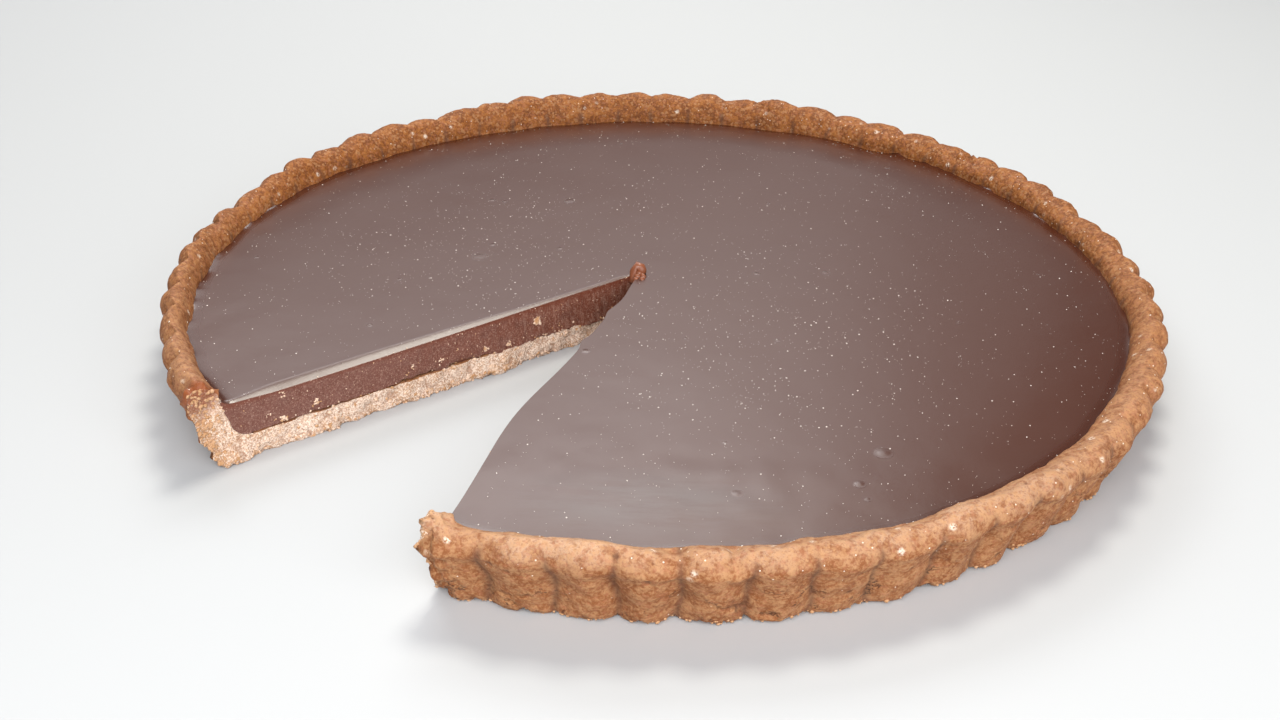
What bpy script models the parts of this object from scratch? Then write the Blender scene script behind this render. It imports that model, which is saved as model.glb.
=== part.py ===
"""Chocolate tart in a fluted pastry case, with one slice taken out.

Metres, +Z up. The origin is on the axis of the tart, in the plane it rests on.
Two pieces: the pastry case (base and fluted wall) and the ganache that fills it.
Both were cut by the same knife, so the same wedge is taken from each.
"""
import math

import bmesh
import bpy
from mathutils import Matrix, Vector

MM = 0.001
NAME = "chocolate_tart"

# Fluted wall, as the tin shaped it
FLUTES = 62
COLUMNS_PER_FLUTE = 4
FLUTE_PHASE = math.radians(5.2)
RIM_RADIUS = 139.6 * MM
FOOT_RADIUS = 133.4 * MM
RIM_HEIGHT = 22.4 * MM
SHOULDER_HEIGHT = 19.4 * MM
FLUTE_DEPTH_TOP = 4.2 * MM
FLUTE_DEPTH_FOOT = 2.4 * MM
FOOT_ROUND = 1.2 * MM

# Inside of the case
BASE_THICKNESS = 6.3 * MM
INNER_RADIUS_TOP = 129.7 * MM
INNER_RADIUS_FOOT = 128.4 * MM
CORNER_RADIUS = 5.0 * MM
CORNER_STEPS = 3

# Ganache
FILL_LEVEL = 16.9 * MM
MENISCUS_RISE = 1.0 * MM
MENISCUS_WIDTH = 3.2 * MM
FILLING_COLUMNS = 124
GAP = 0.3 * MM

# Hand-pressed unevenness, as waves round the tart: how many, how big, and their phase
RIM_WAVES = (
    (1, 1.10 * MM, math.radians(-130)),
    (3, 0.50 * MM, math.radians(-300)),
    (9, 0.28 * MM, 2.1),
    (17, 0.26 * MM, 4.0),
    (29, 0.20 * MM, 1.2),
)
ROUND_WAVES = ((2, 0.80 * MM, math.pi), (4, 0.30 * MM, 2.6), (10, 0.20 * MM, 0.3))
INNER_WAVES = ((1, 1.30 * MM, math.radians(-230)), (7, 0.25 * MM, 0.8), (13, 0.20 * MM, 3.0))
GROOVE_NOTCH = 0.7 * MM

# Missing slice: the tip, the bearings of the two cuts, and the bow of the second
TIP = (-6.0 * MM, -1.2 * MM)
CUT_LEFT = math.radians(218.2)
CUT_RIGHT = math.radians(252.4)
CUT_RIGHT_BOW = 1.3 * MM
BOW_LENGTH = 128.0 * MM
BOW_STEPS = 8
CUT_REACH = 170.0 * MM
CUT_BELOW = 5.0 * MM
CUT_ABOVE = 35.0 * MM

PASTRY_COLOUR = (0.40, 0.19, 0.09, 1.0)
GANACHE_COLOUR = (0.075, 0.032, 0.024, 1.0)


def clear_scene():
    for old in list(bpy.data.objects):
        bpy.data.objects.remove(old, do_unlink=True)


def make_collection(name):
    collection = bpy.data.collections.new(name)
    bpy.context.scene.collection.children.link(collection)
    return collection


def make_material(name, colour, roughness):
    material = bpy.data.materials.new(name)
    material.use_nodes = True
    shader = material.node_tree.nodes["Principled BSDF"]
    shader.inputs["Base Color"].default_value = colour
    shader.inputs["Roughness"].default_value = roughness
    shader.inputs["Metallic"].default_value = 0.0
    return material


def waves(angle, terms):
    return sum(size * math.cos(count * angle + phase) for count, size, phase in terms)


def out_of_round(angle):
    """How far the whole ring bulges at this bearing; even waves keep it centred."""
    return waves(angle, ROUND_WAVES)


def inside_shift(angle):
    """How far the inside of the case sits out from its middle circle at this bearing."""
    return waves(angle, INNER_WAVES)


def rim_lift(angle):
    """How much higher or lower than RIM_HEIGHT the rim is at this bearing."""
    return waves(angle, RIM_WAVES)


def flute_dip(angle):
    """0 on the back of a flute, 1 in the groove between two of them."""
    return 1.0 - abs(math.sin((angle - FLUTE_PHASE) * FLUTES / 2)) ** 0.7


def corner(radius, height, size, steps):
    """A rounded inside corner, from the base out and up to the wall."""
    points = []
    for step in range(steps + 1):
        turn = math.radians(90) * step / steps
        points.append((radius - size + size * math.sin(turn), height + size - size * math.cos(turn)))
    return points


def outer_radius(height):
    """The straight slope of the wall's outside."""
    return FOOT_RADIUS + (RIM_RADIUS - FOOT_RADIUS) * height / SHOULDER_HEIGHT


def flute_depth(height):
    return FLUTE_DEPTH_FOOT + (FLUTE_DEPTH_TOP - FLUTE_DEPTH_FOOT) * height / SHOULDER_HEIGHT


def case_profile():
    """Rows of radius, height, flute depth, share of the rim's lift and of the inside's shift."""
    inner = corner(INNER_RADIUS_FOOT, BASE_THICKNESS, CORNER_RADIUS, CORNER_STEPS)
    rows = [(0.0, BASE_THICKNESS, 0.0, 0.0, 0.0)]
    rows += [(radius, height, 0.0, 0.0, 1.0) for radius, height in inner]
    rows.append((INNER_RADIUS_TOP, FILL_LEVEL + MENISCUS_RISE + 0.2 * MM, 0.0, 0.0, 1.0))
    rows.append((INNER_RADIUS_TOP + 2.2 * MM, RIM_HEIGHT - 1.4 * MM, 0.3 * MM, 0.8, 0.8))
    rows.append((INNER_RADIUS_TOP + 5.0 * MM, RIM_HEIGHT, 1.0 * MM, 1.0, 0.4))
    rows.append((RIM_RADIUS - 1.8 * MM, RIM_HEIGHT - 0.4 * MM, 2.6 * MM, 1.0, 0.0))
    rows.append((RIM_RADIUS, SHOULDER_HEIGHT, FLUTE_DEPTH_TOP, 0.7, 0.0))
    for height in (10.5 * MM, FOOT_ROUND):
        rows.append((outer_radius(height), height, flute_depth(height), 0.0, 0.0))
    rows.append((FOOT_RADIUS - FOOT_ROUND, 0.0, FLUTE_DEPTH_FOOT, 0.0, 0.0))
    rows.append((0.0, 0.0, 0.0, 0.0, 0.0))
    return rows


def filling_profile():
    """The ganache follows the case's inside and stays GAP clear of it."""
    level_radius = INNER_RADIUS_TOP - GAP
    outline = [(level_radius - MENISCUS_WIDTH, FILL_LEVEL)]
    outline.append((level_radius - 0.9 * MM, FILL_LEVEL + 0.5 * MENISCUS_RISE))
    outline.append((level_radius - 0.1 * MM, FILL_LEVEL + MENISCUS_RISE))
    inner = corner(INNER_RADIUS_FOOT - GAP, BASE_THICKNESS + GAP, CORNER_RADIUS - GAP, CORNER_STEPS)
    outline += reversed(inner)
    rows = [(0.0, FILL_LEVEL, 0.0, 0.0, 0.0)]
    rows += [(radius, height, 0.0, 0.0, 1.0) for radius, height in outline]
    rows.append((0.0, BASE_THICKNESS + GAP, 0.0, 0.0, 0.0))
    return rows


def spin_profile(name, rows, columns):
    """Turn the profile round the axis, then give each point its flute, bulge and lift."""
    mesh = bpy.data.meshes.new(name)
    bm = bmesh.new()
    row_layer = bm.verts.layers.int.new("row")
    start = Matrix.Rotation(FLUTE_PHASE, 3, "Z")
    verts = []
    for index, row in enumerate(rows):
        vert = bm.verts.new(start @ Vector((row[0], 0.0, row[1])))
        vert[row_layer] = index
        verts.append(vert)
    edges = [bm.edges.new(pair) for pair in zip(verts, verts[1:])]
    bmesh.ops.spin(bm, geom=verts + edges, axis=(0, 0, 1), angle=math.tau, steps=columns, use_merge=True)
    bmesh.ops.remove_doubles(bm, verts=bm.verts, dist=0.01 * MM)
    for vert in bm.verts:
        radius, height, depth, lift_share, inside_share = rows[vert[row_layer]]
        if radius == 0.0:
            continue
        angle = math.atan2(vert.co.y, vert.co.x)
        dip = flute_dip(angle)
        bulge = (1.0 - inside_share) * out_of_round(angle) + inside_share * inside_shift(angle)
        place = radius + bulge - depth * dip
        lift = lift_share * (rim_lift(angle) - GROOVE_NOTCH * dip * depth / FLUTE_DEPTH_TOP)
        vert.co = (place * math.cos(angle), place * math.sin(angle), height + lift)
    bmesh.ops.recalc_face_normals(bm, faces=bm.faces)
    bm.to_mesh(mesh)
    bm.free()
    return bpy.data.objects.new(name, mesh)


def wedge_outline():
    """The plan of the missing slice: out along one cut and back along the bowed one."""
    tip = Vector(TIP)
    left = Vector((math.cos(CUT_LEFT), math.sin(CUT_LEFT)))
    right = Vector((math.cos(CUT_RIGHT), math.sin(CUT_RIGHT)))
    into_gap = Vector((right.y, -right.x))
    points = [tip, tip + left * CUT_REACH, tip + right * CUT_REACH]
    for step in range(BOW_STEPS, 0, -1):
        share = step / BOW_STEPS
        bow = CUT_RIGHT_BOW * math.sin(math.pi * share)
        points.append(tip + right * (BOW_LENGTH * share) + into_gap * bow)
    return points


def make_wedge(name):
    mesh = bpy.data.meshes.new(name)
    bm = bmesh.new()
    verts = [bm.verts.new((point.x, point.y, -CUT_BELOW)) for point in wedge_outline()]
    face = bm.faces.new(verts)
    raised = bmesh.ops.extrude_face_region(bm, geom=[face])
    moved = [item for item in raised["geom"] if isinstance(item, bmesh.types.BMVert)]
    bmesh.ops.translate(bm, verts=moved, vec=(0, 0, CUT_BELOW + CUT_ABOVE))
    bmesh.ops.recalc_face_normals(bm, faces=bm.faces)
    bm.to_mesh(mesh)
    bm.free()
    wedge = bpy.data.objects.new(name, mesh)
    wedge.hide_render = True
    wedge.display_type = "WIRE"
    return wedge


def cut_slice(piece, wedge):
    cut = piece.modifiers.new("missing_slice", "BOOLEAN")
    cut.operation = "DIFFERENCE"
    cut.solver = "EXACT"
    cut.object = wedge


def main():
    clear_scene()
    tart = make_collection(NAME)
    cutters = make_collection("cutters")
    wedge = make_wedge("slice_cutter")
    cutters.objects.link(wedge)

    case = spin_profile("crust", case_profile(), FLUTES * COLUMNS_PER_FLUTE)
    case.data.materials.append(make_material("pastry", PASTRY_COLOUR, 0.85))
    filling = spin_profile("filling", filling_profile(), FILLING_COLUMNS)
    filling.data.materials.append(make_material("ganache", GANACHE_COLOUR, 0.3))
    for piece in (case, filling):
        tart.objects.link(piece)
        piece.data.shade_smooth()
        piece.data.set_sharp_from_angle(angle=math.radians(35))
        cut_slice(piece, wedge)


main()
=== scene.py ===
"""Finished surfaces of a chocolate tart with one slice out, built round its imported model.

The pastry case and the ganache are modelled again at full detail in place of the two solids.
Both are swept round the tip of the missing slice, so that the two cut faces stay flat.
Crumbs, sugar, bubbles, specks and the curl that the knife left are pieces of their own.
"""

import math
import random

import bmesh
import bpy
from bpy.props import FloatProperty, FloatVectorProperty, IntProperty, PointerProperty
from mathutils import Matrix, Vector, noise


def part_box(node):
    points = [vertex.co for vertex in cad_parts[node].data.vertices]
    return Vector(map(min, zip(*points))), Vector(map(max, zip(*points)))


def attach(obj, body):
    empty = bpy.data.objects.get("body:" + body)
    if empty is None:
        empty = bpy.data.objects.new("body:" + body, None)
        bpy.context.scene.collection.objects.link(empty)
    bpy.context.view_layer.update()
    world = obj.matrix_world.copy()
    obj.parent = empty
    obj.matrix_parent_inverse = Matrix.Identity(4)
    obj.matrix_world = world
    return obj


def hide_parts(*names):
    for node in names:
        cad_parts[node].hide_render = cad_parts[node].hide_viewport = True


bl_info = {
    "name": "Chocolate tart",
    "version": (1, 0, 0),
    "blender": (4, 5, 0),
    "location": "3D View > Sidebar > Tart",
    "description": "Builds a fluted chocolate tart with one slice taken out",
    "category": "Add Mesh",
}

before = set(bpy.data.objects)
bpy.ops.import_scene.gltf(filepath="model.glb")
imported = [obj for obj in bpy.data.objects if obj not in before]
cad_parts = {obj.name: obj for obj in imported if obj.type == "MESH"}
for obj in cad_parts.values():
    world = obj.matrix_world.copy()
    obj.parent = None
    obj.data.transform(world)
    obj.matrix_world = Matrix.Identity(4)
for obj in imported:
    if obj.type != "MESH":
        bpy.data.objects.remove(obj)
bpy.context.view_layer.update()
FILLING_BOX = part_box("filling")

MM = 0.001
BODY = "root"
TURN = math.tau

# The fluted wall, in the same named sizes as the solids
FLUTES = 62
FLUTE_PHASE = math.radians(5.2)
RIM_RADIUS = 139.6 * MM
FOOT_RADIUS = 133.4 * MM
RIM_HEIGHT = 22.4 * MM
SHOULDER_HEIGHT = 19.4 * MM
FLUTE_DEPTH_TOP = 4.2 * MM
FLUTE_DEPTH_FOOT = 2.4 * MM
INNER_RADIUS_TOP = 129.7 * MM
INNER_RADIUS_FOOT = 128.4 * MM
CORNER_RADIUS = 5.0 * MM
GAP = 0.3 * MM
BASE_THICKNESS = FILLING_BOX[0].z - GAP
MENISCUS_RISE = 1.0 * MM
FILL_LEVEL = FILLING_BOX[1].z - MENISCUS_RISE

# Waves round the tart: how many, how big, and their phase
RIM_WAVES = (
    (1, 1.10 * MM, math.radians(-130)),
    (3, 0.50 * MM, math.radians(-300)),
    (9, 0.28 * MM, 2.1),
    (17, 0.26 * MM, 4.0),
    (29, 0.20 * MM, 1.2),
)
ROUND_WAVES = ((2, 0.80 * MM, math.pi), (4, 0.30 * MM, 2.6), (10, 0.20 * MM, 0.3))
INNER_WAVES = ((1, 1.30 * MM, math.radians(-230)), (7, 0.25 * MM, 0.8), (13, 0.20 * MM, 3.0))
GROOVE_NOTCH = 1.7 * MM

# Hand-pressed unevenness on top of the waves: size along the rim, and how far it goes
RIM_LUMP = 15.0 * MM
RIM_LUMP_RISE = 0.8 * MM
INNER_LUMP = 13.0 * MM
INNER_LUMP_PUSH = 0.7 * MM
FLUTE_DRIFT = math.radians(0.35)
FLUTE_DRIFT_LUMP = 24.0 * MM
FLUTE_LEAN = math.radians(0.75)
FLUTE_LEAN_LUMP = 11.0 * MM
FLUTE_LEAN_HEIGHT = 9.0 * MM

# How soft the grooves between the flutes are, and how much softer and shallower where worn
GROOVE_SOFTNESS = 0.06
WORN_SOFTNESS = 0.25
WORN_SHALLOWER = 0.55

# Places where the rim stands up or dips: bearing and spread in degrees, and how far
RIM_SWINGS = (
    (250.4, 0.9, 2.6 * MM),
    (264.0, 3.4, 1.3 * MM),
    (271.7, 1.4, -2.0 * MM),
    (276.9, 0.7, -1.5 * MM),
    (283.8, 2.2, -0.9 * MM),
    (289.6, 1.2, 0.9 * MM),
    (297.0, 2.5, 0.5 * MM),
)

# The missing slice
TIP = Vector((-6.0 * MM, -1.2 * MM, 0.0))
CUT_LEFT = math.radians(218.2)
CUT_RIGHT = math.radians(252.4)
SWEEP = TURN - (CUT_RIGHT - CUT_LEFT)
CUT_LENGTH = 128.0 * MM
BOW_FADE = 9.0 * MM
FIN_START = 126.0 * MM
FIN_END = 130.0 * MM
FIN_WIDTH = 1.0 * MM

# Where the knife strayed on the second cut: distance from the tip, spread and size of the swerve
SWERVES = (
    (84.0 * MM, 25.0 * MM, 3.1 * MM),
    (44.0 * MM, 3.0 * MM, 1.1 * MM),
    (26.0 * MM, 3.0 * MM, 0.7 * MM),
    (17.0 * MM, 6.0 * MM, -0.6 * MM),
)

# The ganache's top: how far its edge is sunk into the pastry, how far from the pastry it still
# climbs and sags, and where it puckered at the front, how wide and how deep
SUNK_EDGE = 0.5 * MM
CLIMB_REACH = 1.0 * MM
SAG_REACH = 27.0 * MM
PUCKER_AT = (-2.0 * MM, -110.0 * MM)
PUCKER_WIDTH = (45.0 * MM, 18.0 * MM)
PUCKER_DEPTH = 0.20 * MM

# Where crumb leans out at the foot of a cut: distance from the tip, spread and size
FALLEN = (
    (50.0 * MM, 5.0 * MM, 1.6 * MM),
    (70.0 * MM, 3.0 * MM, 0.7 * MM),
    (99.0 * MM, 4.0 * MM, 1.0 * MM),
    (125.0 * MM, 6.0 * MM, 2.0 * MM),
)

# Places on the tart: the burnt patch on the rim, and the pale streaky sheen painted at the front of the
# ganache
BURNT_AT = (-108.5 * MM, -81.5 * MM, 21.5 * MM)
FRONT_SHEEN_AT = (-2.0 * MM, -112.5 * MM, FILL_LEVEL)

# The clouds of specks on the ganache: place and spread
SPECK_CLOUDS = ((-55.0 * MM, 10.0 * MM, 45.0 * MM), (30.0 * MM, -50.0 * MM, 50.0 * MM))

# Which face material goes where
OUTSIDE, CUT_FACE = 0, 1


def direction(bearing):
    return Vector((math.cos(bearing), math.sin(bearing), 0.0))


LEFT_RUN = direction(CUT_LEFT)
RIGHT_RUN = direction(CUT_RIGHT)
LEFT_INTO_GAP = Vector((-LEFT_RUN.y, LEFT_RUN.x, 0.0))
RIGHT_INTO_GAP = Vector((RIGHT_RUN.y, -RIGHT_RUN.x, 0.0))
CUTS = ((RIGHT_RUN, RIGHT_INTO_GAP), (LEFT_RUN, LEFT_INTO_GAP))


# Form ---------------------------------------------------------------------------------------


def waves(angle, terms):
    return sum(size * math.cos(count * angle + phase) for count, size, phase in terms)


def smoothstep(low, high, value):
    share = min(1.0, max(0.0, (value - low) / (high - low)))
    return share * share * (3.0 - 2.0 * share)


def hump(distance, spread):
    """1 at no distance, falling to nothing about two spreads away."""
    return math.exp(-((distance / spread) ** 2))


def hump_at(angle, bearing, spread):
    """The same hump round the axis, with its top at a bearing."""
    return hump(math.remainder(angle - bearing, TURN), spread)


def ripple(point, size, offset=0.0):
    """Smooth noise between -1 and 1 whose lumps are about `size` across."""
    return noise.noise(Vector((point.x / size + offset, point.y / size, point.z / size)))


def round_noise(angle, size, offset):
    """Noise between -1 and 1 that closes on itself round the rim."""
    reach = RIM_RADIUS / size
    return noise.noise(Vector((reach * math.cos(angle), reach * math.sin(angle), offset)))


def rim_lift(angle):
    lift = waves(angle, RIM_WAVES) + RIM_LUMP_RISE * round_noise(angle, RIM_LUMP, 2.5)
    for bearing, spread, size in RIM_SWINGS:
        lift += size * hump_at(angle, math.radians(bearing), math.radians(spread))
    return lift


def inner_shift(angle):
    return waves(angle, INNER_WAVES) + INNER_LUMP_PUSH * round_noise(angle, INNER_LUMP, 7.5)


def worn(angle):
    """1 at the front, where the flutes are pressed flatter, and 0 round the sides and the back."""
    return smoothstep(0.30, 0.80, -math.sin(angle))


def flute_dip(angle, height, softness):
    """0 on the back of a flute, nearly 1 in the groove between two of them."""
    drift = FLUTE_DRIFT * round_noise(angle, FLUTE_DRIFT_LUMP, 11.5)
    drift += FLUTE_LEAN * round_noise(angle, FLUTE_LEAN_LUMP, 51.0 + height / FLUTE_LEAN_HEIGHT)
    turn = (angle + drift - FLUTE_PHASE) * FLUTES / 2
    return 1.0 - math.hypot(math.sin(turn), softness) ** 0.7


def uneven_depth(angle):
    """Some flutes are pressed in deeper than others."""
    return 1.0 + 0.45 * round_noise(angle, 19 * MM, 15.5)


def outer_radius(height):
    return FOOT_RADIUS + (RIM_RADIUS - FOOT_RADIUS) * height / SHOULDER_HEIGHT


def flute_depth(height):
    return FLUTE_DEPTH_FOOT + (FLUTE_DEPTH_TOP - FLUTE_DEPTH_FOOT) * height / SHOULDER_HEIGHT


def smooth_rows(rows, spacing):
    """A smooth curve through the rows, as rows about `spacing` apart; every column is a number."""
    fine = []
    for index in range(len(rows) - 1):
        before = rows[max(index - 1, 0)]
        start, end = rows[index], rows[index + 1]
        after = rows[min(index + 2, len(rows) - 1)]
        steps = max(1, round(math.dist(start[:2], end[:2]) / spacing))
        for step in range(steps):
            t = step / steps
            weights = (
                -0.5 * t + t * t - 0.5 * t ** 3,
                1.0 - 2.5 * t * t + 1.5 * t ** 3,
                0.5 * t + 2.0 * t * t - 1.5 * t ** 3,
                -0.5 * t * t + 0.5 * t ** 3,
            )
            columns = zip(before, start, end, after)
            fine.append(tuple(sum(w * c for w, c in zip(weights, column)) for column in columns))
    return fine + [rows[-1]]


def inner_corner(radius, height, size, steps):
    turns = [math.radians(90) * step / steps for step in range(steps + 1)]
    return [(radius - size + size * math.sin(t), height + size - size * math.cos(t)) for t in turns]


def wall_rows(spacing):
    """Inside corner, up the inside, over the rim and down the fluted outside to the underside.

    A row is radius, height, flute depth, share of the rim's lift, share of the inside's shift.
    """
    inside = inner_corner(INNER_RADIUS_FOOT, BASE_THICKNESS, CORNER_RADIUS, 3)
    rows = [(radius, height, 0.0, 0.0, 1.0) for radius, height in inside]
    rim = [
        (INNER_RADIUS_TOP - 0.4 * MM, FILL_LEVEL - 1.0 * MM, 0.0, 0.0, 1.0),
        (INNER_RADIUS_TOP, FILL_LEVEL + 1.2 * MM, 0.0, 0.0, 1.0),
        (INNER_RADIUS_TOP + 2.0 * MM, RIM_HEIGHT - 1.5 * MM, 0.3 * MM, 0.8, 0.8),
        (INNER_RADIUS_TOP + 5.0 * MM, RIM_HEIGHT, 1.5 * MM, 1.0, 0.4),
        (RIM_RADIUS - 2.7 * MM, RIM_HEIGHT - 0.5 * MM, 2.9 * MM, 1.0, 0.0),
        (RIM_RADIUS - 1.1 * MM, RIM_HEIGHT - 2.0 * MM, 3.7 * MM, 0.8, 0.0),
        (RIM_RADIUS - 0.4 * MM, SHOULDER_HEIGHT - 1.6 * MM, FLUTE_DEPTH_TOP, 0.5, 0.0),
    ]
    for height in (14.0 * MM, 10.0 * MM, 5.5 * MM, 1.3 * MM):
        rim.append((outer_radius(height), height, flute_depth(height), 0.0, 0.0))
    rim.append((FOOT_RADIUS - 1.3 * MM, 0.0, FLUTE_DEPTH_FOOT, 0.0, 0.0))
    rows += smooth_rows(rim, spacing)
    for inset in (3.5 * MM, 6.0 * MM):
        rows.append((FOOT_RADIUS - inset, 0.0, FLUTE_DEPTH_FOOT * 0.6, 0.0, 0.0))
    return rows


def reach_to_ring(bearing, radius):
    """How far along a bearing from the tip a circle about the axis is met."""
    ahead = TIP.dot(direction(bearing))
    return -ahead + math.sqrt(ahead * ahead + radius * radius - TIP.length_squared)


def place_on_wall(bearing, row):
    """The point of a wall row at this bearing from the tip."""
    radius, height, full_depth, lift_share, inside_share = row
    run = direction(bearing)
    reach = reach_to_ring(bearing, radius)
    for _ in range(3):
        foot = TIP + run * reach
        angle = math.atan2(foot.y, foot.x)
        bulge = (1.0 - inside_share) * waves(angle, ROUND_WAVES) + inside_share * inner_shift(angle)
        flat = worn(angle) * smoothstep(9 * MM, 21 * MM, height)
        dip = flute_dip(angle, height, GROOVE_SOFTNESS + WORN_SOFTNESS * flat)
        depth = full_depth * (1.0 - WORN_SHALLOWER * flat)
        reach = reach_to_ring(bearing, radius + bulge - depth * uneven_depth(angle) * dip)
    notch = GROOVE_NOTCH * dip * depth / FLUTE_DEPTH_TOP
    lift = lift_share * (rim_lift(angle) - notch)
    return TIP + run * reach + Vector((0.0, 0.0, height + lift))


def bearing_from_tip(point):
    slack = 1e-5
    return (math.atan2(point.y - TIP.y, point.x - TIP.x) - CUT_RIGHT + slack) % TURN - slack + CUT_RIGHT


def bow(along):
    """How far the second cut bows into the gap, at a distance along it from the tip."""
    swerve = sum(size * hump(along - place, spread) for place, spread, size in SWERVES)
    return swerve * smoothstep(0.0, 8 * MM, along)


# Modelling helpers --------------------------------------------------------------------------

# A slice takes a point this near its plane as on it, and one this far past it as beyond it
SLICE_SLACK = 1e-8
BEYOND = 1e-7


def start_chain(bm, rows, row_layer):
    """The rows as a chain of edges standing on the second cut."""
    verts = []
    for index, row in enumerate(rows):
        vert = bm.verts.new(TIP + RIGHT_RUN * row[0] + Vector((0.0, 0.0, row[1])))
        vert[row_layer] = index
        verts.append(vert)
    edges = [bm.edges.new(pair) for pair in zip(verts, verts[1:])]
    return verts + edges


def sweep(bm, chain, stretches):
    """Spin the chain about the tip in stretches of (angle, coarse steps, cuts in each step)."""
    geom = chain
    for angle, steps, _ in stretches:
        spun = bmesh.ops.spin(bm, geom=geom, cent=TIP, axis=(0, 0, 1), angle=angle, steps=steps)
        geom = spun["geom_last"]


def refine(bm, row_layer, stretches):
    """Cut each stretch of a sweep into its narrow columns."""
    start = CUT_RIGHT
    for angle, _, cuts in stretches:
        across = []
        for edge in bm.edges:
            first, second = edge.verts
            if first[row_layer] == second[row_layer] and cuts:
                middle = bearing_from_tip((first.co + second.co) / 2)
                if start < middle < start + angle:
                    across.append(edge)
        if across:
            bmesh.ops.subdivide_edges(bm, edges=across, cuts=cuts, use_grid_fill=True)
        start += angle


def row_between(rows, index):
    """The row at a whole or broken number, as a blend of its two neighbours."""
    low = min(int(index), len(rows) - 2)
    share = index - low
    return tuple(a + (b - a) * share for a, b in zip(rows[low], rows[low + 1]))


def cut_outlines(bm, row_layer, keep_layer, upper_tip, lower_tip):
    """Each cut's outline, from the upper tip round by the swept chain's end, and how the cut runs."""
    outlines = []
    for end, (run, _) in zip((CUT_RIGHT, CUT_RIGHT + SWEEP), CUTS):
        found = [v for v in bm.verts if not v[keep_layer] and abs(bearing_from_tip(v.co) - end) < 1e-4]
        column = sorted(found, key=lambda vert: vert[row_layer])
        outlines.append(([upper_tip] + column + [lower_tip], run))
    return outlines


def cap_cuts(bm, keep_layer, outlines, step):
    """Close both cut faces, slice them finely, number their faces, and mark their own verts."""
    for number, (outline, run) in enumerate(outlines, 1):
        for face in slice_grid(bm, bm.faces.new(outline), run, step):
            face.material_index = number
    for vert in bm.verts:
        if all(face.material_index for face in vert.link_faces):
            vert[keep_layer] = 1.0


def take_cut_faces(bm):
    """The verts of each cut with its directions; the faces get the cut's own material."""
    cuts = []
    for number, (run, into_gap) in enumerate(CUTS, 1):
        faces = [face for face in bm.faces if face.material_index == number]
        verts = list(dict.fromkeys(vert for face in faces for vert in face.verts))
        cuts.append((verts, run, into_gap))
    for face in bm.faces:
        if face.material_index != OUTSIDE:
            face.material_index = CUT_FACE
    return cuts


def with_parts(faces):
    """The faces with their edges and verts, each once and always in the same order."""
    parts = dict.fromkeys(faces)
    for face in faces:
        parts.update(dict.fromkeys((*face.edges, *face.verts)))
    return list(parts)


def slice_grid(bm, face, along, step):
    """Slice one flat cut face, upright and running `along`, into a grid of small faces."""
    faces = [face]
    for run, gap in ((along, step), (Vector((0.0, 0.0, 1.0)), step)):
        places = [vert.co.dot(run) for item in faces for vert in item.verts]
        low, high = min(places), max(places)
        done, rest = [], faces
        count = max(1, round((high - low) / gap))
        for index in range(1, count):
            level = low + (high - low) * index / count
            cut = bmesh.ops.bisect_plane(
                bm, geom=with_parts(rest), dist=SLICE_SLACK, plane_co=run * level, plane_no=run
            )
            pieces = [item for item in cut["geom"] if isinstance(item, bmesh.types.BMFace)]
            rest = [item for item in pieces if max(v.co.dot(run) for v in item.verts) > level + BEYOND]
            kept = set(rest)
            done += [item for item in pieces if item not in kept]
        faces = done + rest
    return faces


def finish_mesh(bm, name, materials, sharp_angle=None):
    """Turn the bmesh into a shown object that rides on the tart."""
    mesh = bpy.data.meshes.new(name)
    bm.to_mesh(mesh)
    bm.free()
    for material in materials:
        mesh.materials.append(material)
    mesh.shade_smooth()
    if sharp_angle is not None:
        mesh.set_sharp_from_angle(angle=sharp_angle)
    piece = bpy.data.objects.new(name, mesh)
    bpy.context.scene.collection.objects.link(piece)
    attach(piece, BODY)
    return piece


# Shading ------------------------------------------------------------------------------------

# Stretches distances so that heights don't count
LEVEL = (1.0, 1.0, 0.0)


def rgba(colour):
    """A setting's colour with its alpha added; a socket stays as it is."""
    return colour if isinstance(colour, bpy.types.NodeSocket) else (*colour, 1.0)


class Value:
    """A number that varies over a surface: each operator adds its Math node."""

    def __init__(self, sheet, socket):
        self.sheet = sheet
        self.socket = socket

    def _math(self, operation, *terms):
        node = self.sheet.add("ShaderNodeMath", {"operation": operation}, dict(enumerate(terms)))
        return Value(self.sheet, node.outputs[0])

    def __add__(self, other):
        return self._math("ADD", self, other)

    def __radd__(self, other):
        return self._math("ADD", other, self)

    def __sub__(self, other):
        return self._math("SUBTRACT", self, other)

    def __rsub__(self, other):
        return self._math("SUBTRACT", other, self)

    def __mul__(self, other):
        return self._math("MULTIPLY", self, other)

    def __rmul__(self, other):
        return self._math("MULTIPLY", other, self)

    def __pow__(self, other):
        return self._math("POWER", self, other)

    def below(self, level, soft):
        """1 where the value is under the level, falling to 0 over a soft edge."""
        return self.sheet.steps(self, level - soft, level + soft, 1.0, 0.0)

    def above(self, level, soft):
        return self.sheet.steps(self, level - soft, level + soft, 0.0, 1.0)


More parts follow.
